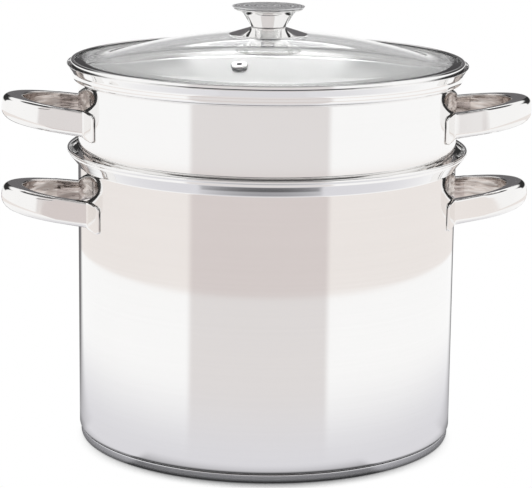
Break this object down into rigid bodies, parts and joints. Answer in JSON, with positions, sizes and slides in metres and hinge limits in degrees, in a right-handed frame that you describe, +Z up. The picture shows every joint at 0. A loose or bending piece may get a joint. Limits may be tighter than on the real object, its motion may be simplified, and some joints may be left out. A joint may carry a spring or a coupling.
{
  "type": "pasta pot",
  "caption": "Tall stainless pot with a lift-out strainer insert and a domed glass lid; loop handles on pot and insert, steam vent and steel knob on the lid.",
  "frame": {"origin": "centre of the standing face, on the surface that the pot stands on", "axes": "+Z up along the axis of pot, insert and lid; +X towards the pot's right handle"},
  "size_m": [0.3404, 0.2572, 0.277],
  "materials": {
    "polished_steel": "mirror-polished stainless steel sheet",
    "handle_steel": "polished cast stainless steel",
    "satin_steel": "satin stainless steel with turned marks",
    "core_aluminium": "bare aluminium disc, hidden in the base",
    "silicone": "matt dark silicone",
    "lid_glass": "clear tempered glass"
  },
  "bodies": {
    "pot": {"pot_shell": "polished_steel", "base_core": "core_aluminium", "base_cap": "satin_steel", "pot_handle_right": "handle_steel", "pot_handle_left": "handle_steel"},
    "insert": {"insert_shell": "polished_steel", "insert_handle_right": "handle_steel", "insert_handle_left": "handle_steel"},
    "lid": {"lid_glass": "lid_glass", "lid_band": "polished_steel", "band_seal": "silicone", "vent_eyelet": "polished_steel", "knob_gasket_upper": "silicone", "knob_gasket_lower": "silicone", "screw_washer": "satin_steel", "knob_screw": "satin_steel", "knob_skirt": "polished_steel", "knob_body": "polished_steel", "knob_boss": "satin_steel", "knob_cap": "satin_steel"}
  },
  "joints": [
    {"name": "insert_lift", "type": "slide", "parent": "pot", "child": "insert", "axis": [0, 0, 1], "range_m": [0, 0.3]},
    {"name": "lid_lift", "type": "slide", "parent": "insert", "child": "lid", "axis": [0, 0, 1], "range_m": [0, 0.12]}
  ]
}
